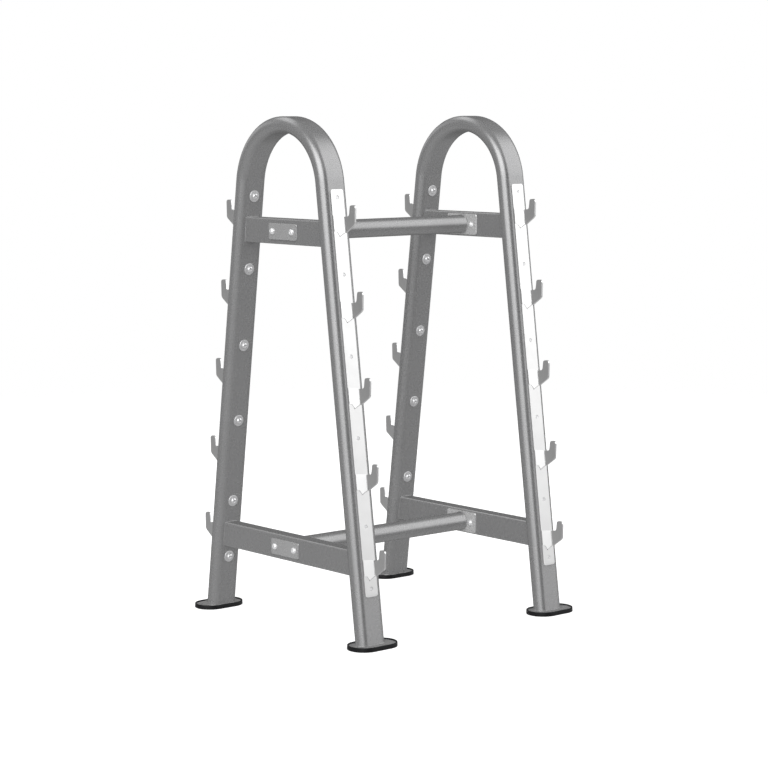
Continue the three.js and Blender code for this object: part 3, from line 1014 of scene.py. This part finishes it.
def build_rack():
    meshes = shared_meshes()
    arch = arch_mesh()
    tie_ends = {}
    for frame_name in INWARD:
        place = Matrix.Translation((box_centre(f"arch_tube_{frame_name}").x, 0, 0))
        piece(f"arch_{frame_name}", arch, SILVER, place, f"arch_tube_{frame_name}")
        for leg_name in LEG_TURNS:
            build_leg(frame_name, leg_name, meshes)
        for level_name in LEVELS:
            tie_ends[frame_name, level_name] = build_crossbar(frame_name, level_name, meshes)
    for level_name in LEVELS:
        length = tie_ends["right", level_name] - tie_ends["left", level_name]
        place = Matrix.Translation(box_centre(f"tie_tube_{level_name}"))
        piece(f"tie_{level_name}", tie_tube_mesh(length), SILVER, place,
              f"tie_tube_{level_name}")


# Studio

WHITE = (1, 1, 1, 1)

FLOOR_RADIUS = 9.0
FLOOR_SIDES = 96
FLOOR_FADE_START = 2.2
FLOOR_FADE_SHARE = 0.7
FLOOR_GREY = (0.75, 0.75, 0.75)
FLOOR_GRAIN = 3
FLOOR_SHADES = (0.99, 1.01)
FLOOR_ROUGHNESS = 0.9
FLOOR_GLOW = 0.62

# Soft lights: azimuth from the front towards the left, half width, low and high edge and how soft
# the edges are, all in degrees, then strength. Those below nothing are black screens.
SOFT_LIGHTS = (
    (62, 30, 2, 52, 13, 3.5),  # front left
    (-56, 30, 1, 55, 12, 1.9),  # front right
    (174, 32, 39, 62, 9, 1.5),  # back, high
    (168, 16, 6, 22, 9, 0.8),  # back, low
    (2, 16, -12, 29, 9, -0.3),  # front screen
    (-150, 34, -60, -10, 9, -0.24),  # back right screen, below the horizon
    (-144, 24, 3, 34, 8, -0.15),  # back right screen, above it
)
WALL_LEVEL = 0.288
GROUND_LEVEL = 0.62

# Where the ground ends and the wall starts, as the height of a direction one unit long
GROUND_EDGE = -0.7
WALL_EDGE = -0.1


def studio_floor():
    """A pale disc that fades out into the background well away from the rack."""
    bm = bmesh.new()
    bm.faces.new([bm.verts.new((x, y, 0)) for x, y in circle(FLOOR_RADIUS, FLOOR_SIDES)])
    floor = bpy.data.objects.new("studio_floor", finished(bm, "studio_floor"))
    bpy.context.scene.collection.objects.link(floor)
    floor.visible_diffuse = False
    floor.visible_glossy = False
    floor.data.materials.append(floor_material())


def floor_material():
    paint = Paint("studio_floor")
    paint.colour(FLOOR_GREY, paint.spread(paint.noise(FLOOR_GRAIN), *FLOOR_SHADES))
    paint.set(Roughness=FLOOR_ROUGHNESS, Emission_Color=WHITE, Emission_Strength=FLOOR_GLOW)
    distance = paint.add("ShaderNodeVectorMath", operation="LENGTH")
    paint.link(paint.place, distance.inputs[0])
    fade_end = FLOOR_RADIUS * FLOOR_FADE_SHARE
    fade = paint.ramp(distance.outputs["Value"], FLOOR_FADE_START, fade_end, 1, 0, "SMOOTHSTEP")
    paint.link(fade, paint.shader.inputs["Alpha"])
    return paint.material


def heading_and_height(graph):
    """Two outputs for the sky's direction: its level part one unit long, and its height."""
    direction = graph.add("ShaderNodeTexCoord").outputs["Generated"]
    flat = graph.add("ShaderNodeVectorMath", operation="MULTIPLY")
    flat.inputs[1].default_value = (1, 1, 0)
    graph.link(direction, flat.inputs[0])
    heading = graph.add("ShaderNodeVectorMath", operation="NORMALIZE")
    graph.link(flat.outputs["Vector"], heading.inputs[0])
    split = graph.add("ShaderNodeSeparateXYZ")
    graph.link(direction, split.inputs["Vector"])
    return heading.outputs["Vector"], split.outputs["Z"]


def soft_light(graph, heading, height, azimuth, half_width, low, high, softness, strength):
    """The brightness that a soft light gives a direction of the sky."""
    turn = math.radians(azimuth)
    nearness = graph.add("ShaderNodeVectorMath", operation="DOT_PRODUCT")
    nearness.inputs[1].default_value = (-math.sin(turn), -math.cos(turn), 0)
    graph.link(heading, nearness.inputs[0])
    edges = [math.cos(math.radians(v)) for v in (half_width + softness, half_width - softness)]
    bottom = [math.sin(math.radians(v)) for v in (low - softness, low + softness)]
    top = [math.sin(math.radians(v)) for v in (high - softness, high + softness)]
    sides = graph.ramp(nearness.outputs["Value"], *edges, 0, strength, "SMOOTHSTEP")
    above = graph.ramp(height, *bottom, 0, 1, "SMOOTHSTEP")
    below = graph.ramp(height, *top, 1, 0, "SMOOTHSTEP")
    return graph.math("MULTIPLY", sides, graph.math("MULTIPLY", above, below))


def studio_world():
    """White to the camera. To the rack it is a grey room with large soft lights in it."""
    world = bpy.data.worlds.new("studio")
    bpy.context.scene.world = world
    world.use_nodes = True
    graph = Graph(world.node_tree)
    graph.tree.nodes.clear()
    heading, height = heading_and_height(graph)
    level = graph.ramp(height, GROUND_EDGE, WALL_EDGE, GROUND_LEVEL, WALL_LEVEL)
    for light in SOFT_LIGHTS:
        level = graph.math("ADD", level, soft_light(graph, heading, height, *light))
    room = graph.add("ShaderNodeBackground")
    graph.link(level, room.inputs["Strength"])
    backdrop = graph.add("ShaderNodeBackground")
    for background in (room, backdrop):
        background.inputs["Color"].default_value = WHITE
    rays = graph.add("ShaderNodeLightPath")
    mix = graph.add("ShaderNodeMixShader")
    output = graph.add("ShaderNodeOutputWorld")
    graph.link(rays.outputs["Is Camera Ray"], mix.inputs["Fac"])
    graph.link(room.outputs["Background"], mix.inputs[1])
    graph.link(backdrop.outputs["Background"], mix.inputs[2])
    graph.link(mix.outputs["Shader"], output.inputs["Surface"])


def studio():
    studio_floor()
    studio_world()
    bpy.context.scene.view_settings.view_transform = "Standard"


# Camera

CAMERA_PLACE = (-4.7290, -5.5868, 1.6175)
CAMERA_AZIMUTH = math.radians(-40.288)
CAMERA_TILT = math.radians(6.790)
CAMERA_ROLL = math.radians(-0.120)
CAMERA_LENS = 105.95
CAMERA_SENSOR = 36
CAMERA_FAR_LIMIT = 100


def camera_turn():
    """The camera's axes, from its azimuth, its tilt down and its roll."""
    forward = Vector((
        -math.sin(CAMERA_AZIMUTH) * math.cos(CAMERA_TILT),
        math.cos(CAMERA_AZIMUTH) * math.cos(CAMERA_TILT),
        -math.sin(CAMERA_TILT),
    ))
    level = Vector((math.cos(CAMERA_AZIMUTH), math.sin(CAMERA_AZIMUTH), 0))
    upright = level.cross(forward)
    right = level * math.cos(CAMERA_ROLL) + upright * math.sin(CAMERA_ROLL)
    up = right.cross(forward)
    return Matrix((right, up, -forward)).transposed().to_4x4()


def photo_camera():
    """The camera of the photograph."""
    data = bpy.data.cameras.new("photo_camera")
    data.lens = CAMERA_LENS
    data.sensor_width = CAMERA_SENSOR
    data.clip_end = CAMERA_FAR_LIMIT
    camera = bpy.data.objects.new("photo_camera", data)
    bpy.context.scene.collection.objects.link(camera)
    camera.matrix_world = Matrix.Translation(CAMERA_PLACE) @ camera_turn()
    bpy.context.scene.camera = camera


photo_camera()
build_rack()
studio()
